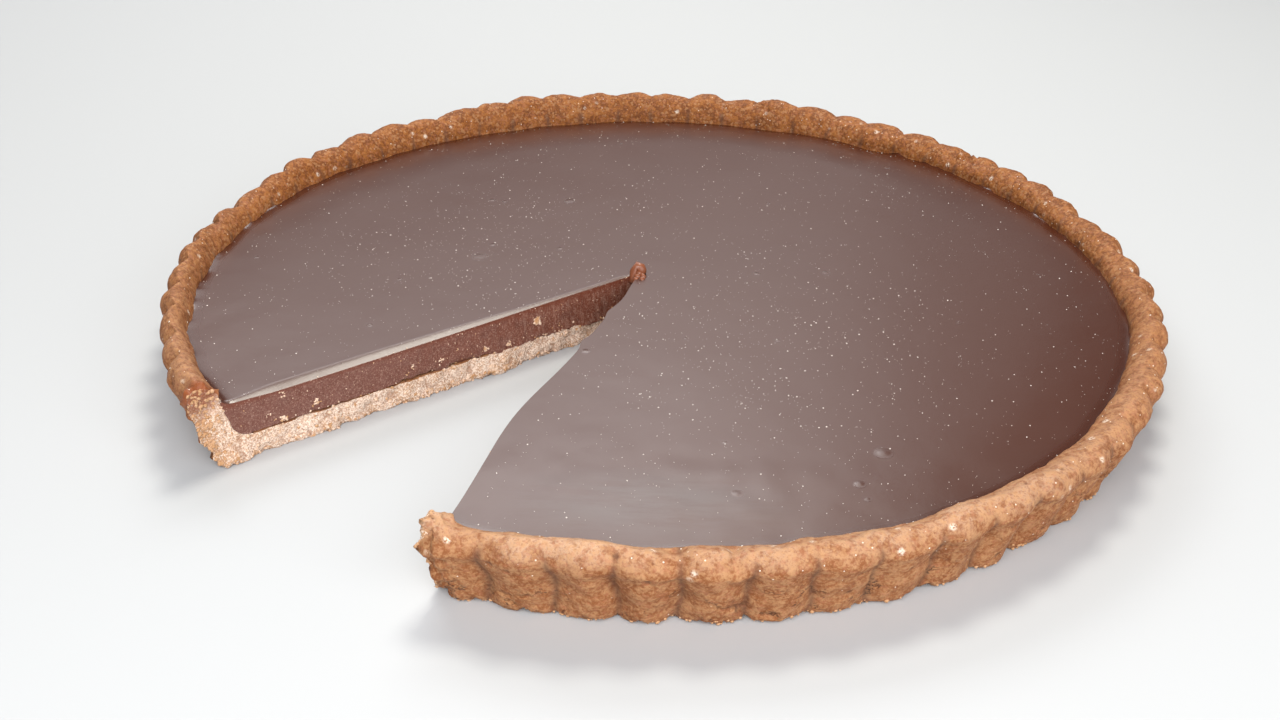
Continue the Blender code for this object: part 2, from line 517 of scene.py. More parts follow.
class Sheet:
    """One material and the nodes that are added to it."""

    def __init__(self, name):
        self.material = bpy.data.materials.new(name)
        self.material.use_nodes = True
        self.tree = self.material.node_tree
        self.shader = self.tree.nodes["Principled BSDF"]
        self.coordinates = self.add("ShaderNodeTexCoord").outputs["Object"]

    def add(self, kind, settings=None, inputs=None):
        """Add a node of this type with its settings, then the values or links of its sockets."""
        node = self.tree.nodes.new(kind)
        for key, value in (settings or {}).items():
            setattr(node, key, value)
        for key, value in (inputs or {}).items():
            self.feed(node.inputs[key], value)
        return node

    def feed(self, target, value):
        if isinstance(value, Value):
            value = value.socket
        if isinstance(value, bpy.types.NodeSocket):
            self.tree.links.new(value, target)
        else:
            target.default_value = value

    def steps(self, value, low, high, at_low, at_high):
        node = self.add(
            "ShaderNodeMapRange",
            {"interpolation_type": "SMOOTHSTEP"},
            {"Value": value, "From Min": low, "From Max": high, "To Min": at_low, "To Max": at_high},
        )
        return Value(self, node.outputs["Result"])

    def grain(self, size, detail=3.0, roughness=0.5, stretch=(1.0, 1.0, 1.0)):
        """Noise between 0 and 1 whose lumps are about `size` metres across."""
        place = self.add("ShaderNodeMapping", {}, {"Vector": self.coordinates, "Scale": stretch})
        inputs = {"Vector": place.outputs[0], "Scale": 1.0 / size}
        inputs.update({"Detail": detail, "Roughness": roughness})
        return Value(self, self.add("ShaderNodeTexNoise", {}, inputs).outputs["Fac"])

    def cells(self, size):
        """Cells about `size` metres apart: the distance to the nearest, and its own number."""
        inputs = {"Vector": self.coordinates, "Scale": 1.0 / size}
        node = self.add("ShaderNodeTexVoronoi", {}, inputs)
        tone = self.add("ShaderNodeSeparateColor", {}, {0: node.outputs["Color"]})
        return Value(self, node.outputs["Distance"]), Value(self, tone.outputs[0])

    def height(self):
        """Height above the floor."""
        node = self.add("ShaderNodeSeparateXYZ", {}, {"Vector": self.coordinates})
        return Value(self, node.outputs["Z"])

    def distance(self, place, stretch=(1.0, 1.0, 1.0)):
        """Distance from a place, with each axis stretched."""
        kind = "ShaderNodeVectorMath"
        offset = self.add(kind, {"operation": "SUBTRACT"}, {0: self.coordinates, 1: place})
        wide = self.add(kind, {"operation": "MULTIPLY"}, {0: offset.outputs[0], 1: stretch})
        node = self.add(kind, {"operation": "LENGTH"}, {0: wide.outputs[0]})
        return Value(self, node.outputs["Value"])

    def attribute(self, name):
        node = self.add("ShaderNodeAttribute", {"attribute_name": name, "attribute_type": "GEOMETRY"})
        return Value(self, node.outputs["Fac"])

    def mix(self, share, first, second):
        node = self.add("ShaderNodeMix", {"data_type": "RGBA"})
        self.feed(node.inputs["Factor"], share)
        self.feed(node.inputs[6], rgba(first))
        self.feed(node.inputs[7], rgba(second))
        return node.outputs[2]

    def coats(self, ground, *coats):
        """A ground colour with thin coats over it, the first one lowest: (share, colour) each."""
        for share, colour in coats:
            ground = self.mix(share, ground, colour)
        return ground

    def bump(self, height, depth, under=None):
        inputs = {"Height": height, "Distance": depth, "Strength": 1.0}
        if under is not None:
            inputs["Normal"] = under
        return self.add("ShaderNodeBump", {}, inputs).outputs["Normal"]

    def paint(self, **sockets):
        """Set the shader's own sockets; the names are the socket names with _ for spaces."""
        for name, value in sockets.items():
            self.feed(self.shader.inputs[name.replace("_", " ")], value)
        return self.material


def pastry_material(settings):
    """Baked shortcrust: sandy grains, browned patches, grey-brown grooves and cracks in painted shade,
    paler at the front as painted light.
    """
    sheet = Sheet("pastry")
    height = sheet.height()
    # hollow: painted shade, darker in the grooves, cracks, pits and chips, and lighter on lumps
    hollow = sheet.attribute("hollow").above(0.52, 0.33)
    # back: 0 at the front, 1 towards the back; the pastry is painted darker and browner there, partly
    # browner baking, partly painted shade where the light falls off
    back = sheet.distance((0.0, -RIM_RADIUS, 0.0)).above(150 * MM, 110 * MM)
    patches = sheet.grain(17 * MM, 4.0, 0.6)
    blotch = sheet.grain(2.6 * MM, 5.0, 0.65)
    sand = sheet.grain(0.6 * MM, 3.0, 0.7)
    near, pick = sheet.cells(0.75 * MM)
    lines = sheet.grain(6 * MM, 3.0, 0.6, (1.0, 1.0, 2.0))
    cracked = sheet.grain(8 * MM, 2.0, 0.5).above(0.58, 0.05) * height.below(10 * MM, 4 * MM)
    # crack: thin lines low on the wall, painted dark as the shade inside cracks
    crack = lines.above(0.490, 0.006) * lines.below(0.510, 0.006) * cracked
    top = (height + 9 * MM * blotch + 6 * MM * patches).above(RIM_HEIGHT + 5.2 * MM, 3.2 * MM)
    burnt = sheet.distance(BURNT_AT).below(5.5 * MM, 3.0 * MM) * blotch.above(0.38, 0.12)
    speck, chosen = sheet.cells(1.7 * MM)
    sparkle = speck.below(0.10, 0.04) * chosen.above(0.80, 0.02)
    flour, picked = sheet.cells(4.2 * MM)
    shoulder = height.above(16.5 * MM, 1.5 * MM) * height.below(21.5 * MM, 1.0 * MM)
    dusted = flour.below(0.17, 0.10) * picked.above(0.62, 0.02) * shoulder * sand.above(0.46, 0.08)
    light = sheet.mix(back, settings.pale, settings.golden)
    shade = sheet.mix(back, settings.browned, settings.baked_dark)
    tone = sheet.coats(
        settings.colour,
        (patches.above(0.52, 0.12), settings.browned),
        # painted light: the rim's top is painted paler at the front, where the light falls brighter
        ((0.70 - 0.70 * back) * top, settings.rim),
        # painted darker at the back: partly browner baking, partly painted shade
        (0.85 * back, settings.baked),
        (0.60 * blotch.above(0.54, 0.07), light),
        (0.50 * blotch.below(0.45, 0.06), shade),
        (0.50 * sand.above(0.55, 0.06), light),
        (0.45 * sand.below(0.43, 0.06), shade),
        (0.45 * pick.above(0.84, 0.05), settings.pale),
        (0.30 * pick.below(0.16, 0.05), settings.rosy),
        # painted shade in the hollows and along the crack lines
        (0.72 * hollow, settings.dark),
        (0.90 * crack, settings.dark),
        (0.90 * burnt, settings.burnt),
        (0.70 * dusted, settings.fleck),
        (0.80 * sparkle, settings.fleck),
    )
    relief = sheet.bump(sand, 0.14 * MM, sheet.bump(blotch, 0.35 * MM))
    relief = sheet.bump(1 - near, 0.06 * MM, sheet.bump(1 - crack, 0.4 * MM, relief))
    gloss = 0.66 - 0.30 * sparkle - 0.25 * burnt
    return sheet.paint(Base_Color=tone, Roughness=gloss, Normal=relief, Specular_IOR_Level=0.22)


def crumb_material(settings):
    """The pale broken inside of the pastry: fine cream grains, browner towards its baked skin."""
    sheet = Sheet("pastry_crumb")
    # hollow: painted shade in the pits of the broken crumb
    hollow = sheet.attribute("hollow").above(0.72, 0.22)
    lump = sheet.grain(5 * MM, 4.0, 0.6)
    blotch = sheet.grain(1.8 * MM, 4.0, 0.65)
    sand = sheet.grain(0.42 * MM, 2.0, 0.8)
    near, pick = sheet.cells(0.5 * MM)
    wall = sheet.distance((TIP.x, TIP.y, 0.0), LEVEL).above(124 * MM, 6 * MM)
    foot = sheet.height().below(1.6 * MM, 1.4 * MM) * lump.above(0.50, 0.08)
    burnt = sheet.distance(BURNT_AT).below(5.5 * MM, 3.0 * MM) * blotch.above(0.36, 0.10)
    tone = sheet.coats(
        settings.crumb,
        (0.75 * lump.above(0.56, 0.09), settings.crumb_warm),
        (0.42 * wall, settings.crumb_warm),
        (0.45 * blotch.below(0.44, 0.06), settings.crumb_dark),
        (0.80 * foot, settings.pale),
        (sheet.attribute("baked"), settings.pale),
        (0.75 * sand.above(0.54, 0.05), settings.crumb_light),
        (0.60 * sand.below(0.44, 0.05), settings.crumb_dark),
        (0.40 * pick.below(0.14, 0.05), settings.crumb_dark),
        (0.60 * hollow, settings.crumb_dark),
        (0.85 * burnt, settings.burnt),
    )
    relief = sheet.bump(sand, 0.30 * MM, sheet.bump(blotch, 0.5 * MM))
    relief = sheet.bump(1 - near, 0.12 * MM, relief)
    gloss = 0.85 - 0.40 * burnt
    return sheet.paint(Base_Color=tone, Roughness=gloss, Normal=relief, Specular_IOR_Level=0.3)


def ganache_material(settings):
    """Set ganache: smooth, dark brown, with a broad satin sheen, and a faint streaky sheen painted paler
    at the front.
    """
    sheet = Sheet("ganache")
    curved = sheet.attribute("hollow")
    cloud = sheet.grain(60 * MM, 3.0, 0.5)
    haze = sheet.grain(7 * MM, 3.0, 0.55)
    fine = sheet.grain(0.7 * MM, 2.0, 0.5)
    streaks = sheet.grain(9 * MM, 5.0, 0.65, (0.35, 1.6, 1.0))
    # A pale streaky patch at the front: painted sheen, also made rougher.
    front_sheen = sheet.distance(FRONT_SHEEN_AT, (0.42, 1.0, 0.0)).below(9 * MM, 8 * MM) * streaks.above(0.45, 0.2)
    tone = sheet.coats(
        settings.colour,
        (0.50 * cloud.above(0.5, 0.2), settings.milky),
        (0.55 * front_sheen, settings.front_sheen),
    )
    gloss = 0.25 + 0.07 * cloud + 0.04 * haze + 0.12 * front_sheen - 0.12 * curved
    relief = sheet.bump(fine, 0.008 * MM, sheet.bump(haze, 0.05 * MM))
    return sheet.paint(Base_Color=tone, Roughness=gloss, Normal=relief, IOR=1.5)


def ganache_cut_material(settings):
    """The knife's face through the ganache: red-brown, with pale grains, faint drag marks, and a darker
    red band of painted shade along its top.
    """
    sheet = Sheet("ganache_cut")
    drag = sheet.grain(0.8 * MM, 4.0, 0.65, (1.0, 1.0, 0.22))
    mottle = sheet.grain(4 * MM, 5.0, 0.65)
    sand = sheet.grain(0.42 * MM, 2.0, 0.8)
    near, pick = sheet.cells(0.42 * MM)
    smear, lump = sheet.cells(1.1 * MM)
    from_tip = sheet.distance((TIP.x, TIP.y, 0.0), LEVEL)
    # Painted shade: a darker red band along the top of the cut face, just under the ganache's top.
    top_band_shade = sheet.height().above(FILL_LEVEL - 1.7 * MM, 0.7 * MM)
    dragged = from_tip.below(45 * MM, 25 * MM) * drag.above(0.54, 0.07)
    grains = near.below(0.36, 0.08) * pick.above(0.86, 0.02)
    smears = smear.below(0.28, 0.12) * lump.above(0.88, 0.02)
    tone = sheet.coats(
        settings.cut,
        (0.80 * mottle.above(0.52, 0.14), settings.cut_dark),
        (0.75 * from_tip.above(58 * MM, 40 * MM), settings.cut_outer),
        (0.45 * mottle.below(0.44, 0.08), settings.cut_dark),
        (0.30 * dragged, settings.cut_pale),
        (0.40 * drag.below(0.43, 0.06), settings.cut_dark),
        (0.32 * sand.above(0.57, 0.05), settings.cut_pale),
        (0.60 * sand.below(0.43, 0.05), settings.cut_dark),
        (0.70 * top_band_shade, settings.cut_edge_shade),
        (0.60 * grains, settings.cut_pale),
        (0.40 * smears, settings.cut_pale),
    )
    relief = sheet.bump(sand, 0.12 * MM, sheet.bump(mottle, 0.35 * MM, sheet.bump(drag, 0.15 * MM)))
    gloss = 0.38 + 0.25 * mottle
    return sheet.paint(Base_Color=tone, Roughness=gloss, Normal=relief, IOR=1.45)


def loose_crumb_material(settings):
    """Loose crumbs: cream on the cuts, brown at the foot of the wall."""
    sheet = Sheet("crumbs")
    lump = sheet.grain(1.6 * MM, 2.0, 0.5)
    sand = sheet.grain(0.4 * MM, 2.0, 0.7)
    outside = sheet.distance((0.0, 0.0, 0.0), LEVEL).above(131 * MM, 2 * MM)
    tone = sheet.coats(
        settings.crumb_colour,
        (lump.above(0.52, 0.10), settings.crumb_brown),
        (0.85 * outside, settings.crumb_brown),
        (0.55 * sand.below(0.46, 0.06), settings.crumb_brown),
    )
    return sheet.paint(Base_Color=tone, Roughness=0.9)


def plain_material(name, colour, roughness, size):
    """A small bit's own finish: its colour, uneven over `size`."""
    sheet = Sheet(name)
    darker = [channel * 0.55 for channel in colour]
    tone = sheet.mix(0.35 * sheet.grain(size, 3.0, 0.6), colour, darker)
    return sheet.paint(Base_Color=tone, Roughness=roughness)


# Settings -----------------------------------------------------------------------------------


def size_prop(name, description, value):
    return FloatProperty(
        name=name, description=description, default=value, min=0.0, unit="LENGTH", precision=5
    )


def colour_prop(name, description, value):
    return FloatVectorProperty(
        name=name, description=description, default=value, size=3, min=0.0, max=1.0, subtype="COLOR"
    )


def count_prop(name, description, value):
    return IntProperty(name=name, description=description, default=value, min=0)


def strength_prop(name, description, value):
    return FloatProperty(name=name, description=description, default=value, min=0.0)


class CrustSettings(bpy.types.PropertyGroup):
    step: size_prop("Mesh step", "Distance between points on the pastry", 0.66 * MM)
    cut_step: size_prop("Cut step", "Distance between points on the pastry's cut faces", 0.50 * MM)
    lumps: size_prop("Lumps", "Height of the hand-pressed lumps", 0.50 * MM)
    grain: size_prop("Grain", "Height of the sandy grain", 0.14 * MM)
    cracks: size_prop("Cracks", "Depth of the cracks low on the wall", 1.1 * MM)
    crumble: size_prop("Crumble", "Depth of the broken crumb on the cut faces", 0.75 * MM)
    colour: colour_prop("Crust", "Baked outside of the pastry", (0.300, 0.116, 0.044))
    browned: colour_prop("Browned", "Darker baked patches", (0.225, 0.072, 0.022))
    pale: colour_prop("Pale", "Lighter patches and grains", (0.47, 0.245, 0.115))
    # dark is painted shade, laid in the grooves, cracks, pits and chips
    dark: colour_prop("Dark", "Grooves, cracks and dark grains", (0.105, 0.048, 0.030))
    burnt: colour_prop("Burnt", "Burnt patch on the rim by the cut", (0.24, 0.060, 0.018))
    fleck: colour_prop("Fleck", "Sugar that shows on the pastry", (0.86, 0.76, 0.64))
    # rim: painted light, the top of the rim painted paler at the front
    rim: colour_prop("Rim", "Pale floury top of the rim at the front", (0.66, 0.46, 0.32))
    # baked, baked_dark and golden: the pastry painted darker towards the back, partly browner baking and
    # partly painted shade
    baked: colour_prop("Baked", "Darker pastry at the back", (0.200, 0.056, 0.010))
    baked_dark: colour_prop("Baked, dark", "Dark grains of that darker pastry", (0.120, 0.040, 0.014))
    golden: colour_prop("Golden", "Lighter grains of that darker pastry", (0.37, 0.140, 0.034))
    rosy: colour_prop("Rosy", "Pinker grains", (0.42, 0.17, 0.09))
    crumb: colour_prop("Crumb", "Broken inside of the pastry", (0.80, 0.59, 0.46))
    crumb_light: colour_prop("Light crumb", "Cream grains of the broken inside", (0.93, 0.80, 0.68))
    crumb_warm: colour_prop("Warm crumb", "Browner grains of the broken inside", (0.64, 0.38, 0.22))
    # crumb_dark: dark grains of the broken inside, and also the painted shade in its pits
    crumb_dark: colour_prop("Dark crumb", "Pits in the broken inside", (0.36, 0.185, 0.11))


class GanacheSettings(bpy.types.PropertyGroup):
    step: size_prop("Mesh step", "Distance between points on the ganache", 1.8 * MM)
    cut_step: size_prop("Cut step", "Distance between points on its cut faces", 0.60 * MM)
    rise: size_prop("Meniscus", "How far the ganache climbs the pastry", MENISCUS_RISE)
    roll: size_prop("Rolled edge", "Largest rounding of the cut top edge", 3.0 * MM)
    swell: size_prop("Swell", "Height of the broad waves on top", 0.07 * MM)
    sag: size_prop("Sag", "How far the top sinks towards the pastry", 0.9 * MM)
    colour: colour_prop("Ganache", "Top of the ganache", (0.058, 0.0140, 0.0058))
    milky: colour_prop("Milky", "Paler clouds on top", (0.064, 0.0175, 0.0085))
    # Painted sheen: the pale streaky patch at the front of the top.
    front_sheen: colour_prop("Bloom", "Pale bloom at the front", (0.16, 0.14, 0.14))
    cut: colour_prop("Cut", "Cut face of the ganache", (0.185, 0.048, 0.022))
    cut_dark: colour_prop("Cut, dark", "Darker mottling of the cut face", (0.110, 0.030, 0.017))
    cut_outer: colour_prop("Cut, outer", "Cut face towards the rim", (0.175, 0.074, 0.056))
    # Painted shade: the darker red band along the top of the cut face.
    cut_edge_shade: colour_prop("Cut, edge", "Cut face just under the skin", (0.140, 0.030, 0.012))
    cut_pale: colour_prop("Cut, pale", "Drag marks and grains of the cut face", (0.42, 0.26, 0.20))


class BitsSettings(bpy.types.PropertyGroup):
    crumbs: count_prop("Crumbs", "Crumbs stuck to the cut faces", 220)
    sugar: count_prop("Sugar", "Sugar grains on the rim", 200)
    specks: count_prop("Specks", "Tiny pale specks on the ganache", 4200)
    bubbles: count_prop("Bubbles", "Small bubbles under the ganache's skin", 18)
    seed: count_prop("Seed", "Seed of the scattered bits", 7)
    crumb_colour: colour_prop("Crumb colour", "Loose crumbs", (0.82, 0.62, 0.48))
    crumb_brown: colour_prop("Brown crumbs", "Browner loose crumbs", (0.50, 0.27, 0.13))
    speck_colour: colour_prop("Speck colour", "Pale specks", (0.82, 0.74, 0.68))
    sugar_colour: colour_prop("Sugar colour", "Sugar grains", (0.85, 0.76, 0.66))
    curl_colour: colour_prop("Curl colour", "Curl of ganache at the tip", (0.25, 0.078, 0.035))


class StageSettings(bpy.types.PropertyGroup):
    floor: colour_prop("Floor", "Plain pale floor", (0.50, 0.51, 0.525))
    sky: colour_prop("Surround", "Even light from all round", (0.97, 0.98, 1.0))
    sky_strength: strength_prop("Surround light", "Strength of that light", 0.15)
    backdrop: strength_prop("Backdrop", "Brightness of the low panels behind", 0.68)
    key: strength_prop("Key", "Brightness of the panels above them", 3.0)
    overhead: strength_prop("Overhead", "Brightness of the panel overhead", 24.0)
    front: strength_prop("Front", "Brightness of the panel by the camera", 8.0)
    side: strength_prop("Side", "Brightness of the broad panel at the right", 3.0)


# Crust --------------------------------------------------------------------------------------


def crack_depth(angle, height):
    """0 to 1: thin cracks that run mostly level, in the lower part of the wall."""
    around = angle * RIM_RADIUS
    line = noise.noise(Vector((around / (13 * MM), height / (3.6 * MM), 3.1)))
    line += 0.35 * noise.noise(Vector((around / (3.5 * MM), height / (2.2 * MM), 8.7)))
    patch = smoothstep(0.0, 0.30, noise.noise(Vector((around / (17 * MM), 1.7, height / (14 * MM)))))
    low = 1.0 - smoothstep(6 * MM, 13 * MM, height)
    return (1.0 - smoothstep(0.0, 0.07, abs(line))) * patch * (0.06 + 0.94 * low)


def pit_depth(point):
    """0 to 1: a pit here and there where a grain has dropped out."""
    distances, centres = noise.voronoi(point / (3.1 * MM))
    chosen = noise.cell(centres[0] * 5.3) > 0.62
    return (1.0 - smoothstep(0.10, 0.38, distances[0])) if chosen else 0.0


def pastry_relief(point, angle, settings):
    """How far the pastry stands out of its smooth form here, and how hollow it is, 0 to 1."""
    lump = ripple(point, 4.2 * MM, 5.0)
    out = settings.lumps * (ripple(point, 10 * MM) + 0.7 * lump)
    out += settings.grain * (ripple(point, 1.9 * MM, 9.0) + 0.7 * ripple(point, 1.1 * MM, 2.0))
    from_axis = math.hypot(point.x, point.y)
    outer = smoothstep(INNER_RADIUS_TOP + 0.6 * MM, INNER_RADIUS_TOP + 1.8 * MM, from_axis)
    crack = crack_depth(angle, point.z) * outer
    pit = pit_depth(point) * outer
    out -= settings.cracks * crack + 0.5 * MM * pit
    cut = min(abs((point - TIP).dot(into_gap)) for _, into_gap in CUTS)
    torn = (1.0 - smoothstep(1 * MM, 7 * MM, cut)) * outer
    out += torn * (1.6 * MM * ripple(point, 4 * MM, 17.0) + 2.0 * MM * ripple(point, 2.2 * MM, 19.0))
    # The hollowness darkens the pastry's colour as painted shade: darker in cracks and pits, lighter on
    # lumps.
    hollow = 0.9 * crack + 0.7 * pit - 0.35 * lump
    return out, min(1.0, max(0.0, hollow))


def ragged_foot(point, angle):
    """How deep a chip is out of the wall's lower edge, from 0 to about 1."""
    chip = 0.55 * noise.noise(Vector((angle * 15.0, 8.0, 0.0)))
    chip += noise.noise(Vector((angle * 60.0, 2.0, 0.0)))
    chip += 0.3 * noise.noise(Vector((angle * 190.0, 5.0, 0.0)))
    near_foot = 1.0 - smoothstep(0.2 * MM, 3.0 * MM, point.z)
    return max(0.0, chip) * near_foot


def cut_relief(along, height, crumble):
    """Broken crumb of a cut face: how far it stands out, how far it lifts, and how hollow it is."""
    spot = Vector((along, 0.0, height))
    clump = noise.voronoi(spot / (2.8 * MM))[0][0]
    fine = noise.voronoi(spot / (1.2 * MM))[0][0]
    swell = ripple(spot, 6 * MM, 4.0)
    out = crumble * (1.1 * swell + 0.45 - clump + 0.6 * (0.45 - fine) - 0.2)
    low = 1.0 - smoothstep(0.0, 5.5 * MM, height)
    out += low * sum(size * hump(along - place, spread) for place, spread, size in FALLEN)
    bite = 0.10 + 1.2 * noise.noise(Vector((along / (4.2 * MM), 3.0, 0.0)))
    bite += 0.6 * noise.noise(Vector((along / (1.5 * MM), 6.0, 0.0)))
    foot = 1.0 - smoothstep(0.0, 2.8 * MM, height)
    out += foot * 0.8 * MM * max(-0.8, -bite)
    # This hollowness is painted as shade in the pits of the cut face.
    hollow = smoothstep(0.50, 0.90, clump) * 0.8 + 0.3 * smoothstep(0.5, 0.8, fine)
    return out, foot * 0.7 * MM * max(0.0, bite), min(1.0, hollow)


def skin_share(run, along, height):
    """1 in the browned skin at the outside of a cut wall, and 0 in the pale crumb inside it."""
    inward = reach_to_ring(math.atan2(run.y, run.x), outer_radius(height)) - along
    uneven = 1.2 * MM * ripple(Vector((along, 0.0, height)), 2.5 * MM, 27.0)
    depth = min(inward, RIM_HEIGHT - height) + uneven
    return 1.0 - smoothstep(0.5 * MM, 3.0 * MM, depth)


def score_flats(bm, inset):
    """Cut a narrow strip off the flat faces along both cuts, so that a ragged edge stays local."""
    many = 150
    for _, into_gap in CUTS:
        flats = [face for face in bm.faces if len(face.verts) > many and abs(face.normal.z) > 0.9]
        edge = TIP - into_gap * inset
        bmesh.ops.bisect_plane(
            bm, geom=with_parts(flats), dist=SLICE_SLACK, plane_co=edge, plane_no=into_gap
        )


def cut_shift(vert, run, into_gap, crumble):
    """How far a vert of the pastry's cut face moves, and how hollow it is there."""
    along = (vert.co - TIP).dot(run)
    out, lift, hollow = cut_relief(along, vert.co.z, crumble)
    share = smoothstep(0.0, 12 * MM, along)
    shift = into_gap * (out * share) + Vector((0.0, 0.0, lift * share))
    if run is RIGHT_RUN:
        shift += into_gap * (bow(along) + FIN_WIDTH * smoothstep(FIN_START, FIN_END, along))
    return shift, hollow


def build_crust(settings):
    bm = bmesh.new()
    row_layer = bm.verts.layers.float.new("row")
    keep_layer = bm.verts.layers.float.new("keep")
    hollow_layer = bm.verts.layers.float.new("hollow")
    baked_layer = bm.verts.layers.float.new("baked")
    rows = wall_rows(settings.step)
    edge_strip = math.radians(0.25)
    middle = SWEEP - 2 * edge_strip
    coarse = 44
    cuts = round(middle * RIM_RADIUS / settings.step / coarse) - 1
    stretches = [(edge_strip, 1, 0), (middle, coarse, cuts), (edge_strip, 1, 0)]
    sweep(bm, start_chain(bm, rows, row_layer), stretches)
    for vert in bm.verts:
        vert.co = place_on_wall(bearing_from_tip(vert.co), rows[round(vert[row_layer])])

    upper_tip = bm.verts.new(TIP + Vector((0.0, 0.0, BASE_THICKNESS)))
    lower_tip = bm.verts.new(TIP)
    upper_tip[keep_layer] = lower_tip[keep_layer] = 1.0
    outlines = cut_outlines(bm, row_layer, keep_layer, upper_tip, lower_tip)
    cap_cuts(bm, keep_layer, outlines, settings.cut_step)
    refine(bm, row_layer, stretches)

    for vert in bm.verts:
        if not vert[keep_layer]:
            row = row_between(rows, vert[row_layer])
            vert.co = place_on_wall(bearing_from_tip(vert.co), row)
    bmesh.ops.holes_fill(bm, edges=bm.edges, sides=0)
    bmesh.ops.recalc_face_normals(bm, faces=bm.faces)
    score_flats(bm, 2.5 * MM)
    bm.normal_update()

    moves = []
    for vert in bm.verts:
        if vert[keep_layer]:
            continue
        x, y, z = vert.co
        angle = math.atan2(y, x)
        out, hollow = pastry_relief(vert.co, angle, settings)
        chip = ragged_foot(vert.co, angle)
        underside = z < 0.05 * MM and math.hypot(x, y) < FOOT_RADIUS - 2.6 * MM
        # Painted shade in the grooves between the flutes, fading out towards the rim's top, and in the
        # chips at the foot.
        groove = flute_dip(angle, z, GROOVE_SOFTNESS / 2) ** 2
        groove *= smoothstep(RIM_HEIGHT, SHOULDER_HEIGHT - 2 * MM, z)
        vert[hollow_layer] = max(hollow, 0.9 * groove, chip)
        if not underside:
            inward = Vector((-math.cos(angle), -math.sin(angle), 0.0))
            lift = Vector((0.0, 0.0, 1.1 * MM * chip))
            moves.append((vert, vert.normal * out + inward * (0.9 * MM * chip) + lift))
    for verts, run, into_gap in take_cut_faces(bm):
        for vert in verts:
            shift, vert[hollow_layer] = cut_shift(vert, run, into_gap, settings.crumble)
            vert[baked_layer] = skin_share(run, (vert.co - TIP).dot(run), vert.co.z)
            moves.append((vert, shift))
    for vert, shift in moves:
        vert.co += shift
        vert.co.z = max(vert.co.z, 0.0)
    return finish_mesh(bm, "pastry_case", [pastry_material(settings), crumb_material(settings)])


# Ganache ------------------------------------------------------------------------------------


def contact_radius(angle):
    """Where the top of the ganache meets the pastry."""
    return INNER_RADIUS_TOP + inner_shift(angle)


def climb(angle, settings):
    """How far up the pastry the ganache stands at this bearing."""
    near_cut = hump_at(angle, CUT_LEFT, math.radians(7))
    right = hump_at(angle, math.radians(36), math.radians(24))
    left = hump_at(angle, math.radians(172), math.radians(30))
    lumps = 1.6 * round_noise(angle, 8 * MM, 31.0) + 0.8 * round_noise(angle, 3.5 * MM, 37.0)
    share = 0.16 + 1.2 * max(right, 0.8 * left) * max(0.0, 0.1 + lumps)
    return settings.rise * (share + 1.1 * near_cut)


def cut_distance(point, run, into_gap):
    """Distance along a cut and away from it, into the tart."""
    offset = point - TIP
    return offset.dot(run), -offset.dot(into_gap)


def roll_off(distance, width):
    """How far a softened edge of this width has dropped at a distance inside it."""
    if distance >= width or width <= 0.0:
        return 0.0
    share = 1.0 - max(0.0, distance) / width
    slope, softness = 0.45, 0.35
    return slope * width * (math.hypot(share, softness) - softness)


def roll_radius(along, largest):
    """The knife dragged the edge most near the wall and least at the tip."""
    share = along / CUT_LENGTH
    tail = 0.35
    swell = smoothstep(0.1, 0.75, share) * (1.0 - 0.9 * smoothstep(0.86, 0.96, share))
    return largest * (tail + (1.0 - tail) * swell) * smoothstep(0.0, 0.05, share)


def top_of_ganache(point, angle, from_wall, settings):
    """The height of the ganache's skin at a point of its top."""
    from_wall = max(0.0, from_wall)
    near_wall = 1.0 - min(1.0, from_wall / SAG_REACH)
    height = FILL_LEVEL + climb(angle, settings) * math.exp(-from_wall / CLIMB_REACH)
    behind = 1.0 + 1.5 * max(0.0, math.sin(angle)) * (1.0 + 0.7 * round_noise(angle, 24 * MM, 41.0))
    by_cut = hump_at(angle, CUT_LEFT, math.radians(30))
    height -= settings.sag * behind * (1.0 - 0.9 * by_cut) * near_wall * near_wall
    height += settings.swell * ripple(point, 34 * MM, 1.0)
    height += settings.swell * (0.35 + 1.1 * near_wall) * ripple(point, 11 * MM, 6.0)
    pucker = PUCKER_DEPTH * hump(point.x - PUCKER_AT[0], PUCKER_WIDTH[0])
    pucker *= hump(point.y - PUCKER_AT[1], PUCKER_WIDTH[1])
    height += pucker * ripple(point, 7 * MM, 12.0)
    along, inside = cut_distance(point, LEFT_RUN, LEFT_INTO_GAP)
    if along > 0.0 and inside >= -MM:
        height -= roll_off(inside, roll_radius(along, settings.roll))
    return height


def curved_share(from_wall):
    """1 where the skin curves up the wall, and 0 where it is flat."""
    return 1.0 - smoothstep(1.5 * MM, 4 * MM, from_wall)


def ganache_rows(step):
    """How far out each row of the top lies, then the wall's rows as radius and height."""
    reach = INNER_RADIUS_TOP
    insets = [inset * MM for inset in (5.0, 4.0, 3.1, 2.4, 1.8, 1.35, 0.95, 0.6, 0.3, 0.0)]
    count = round((reach - insets[0]) / step)
    top = [(reach - insets[0]) * index / count for index in range(count)]
    top += [reach - inset for inset in insets]
    wall = [(INNER_RADIUS_TOP + 0.15 * MM, FILL_LEVEL - 1.5 * MM)]
    corner = inner_corner(INNER_RADIUS_FOOT + 0.1 * MM, BASE_THICKNESS + GAP, CORNER_RADIUS, 6)
    return top, wall + list(reversed(corner))


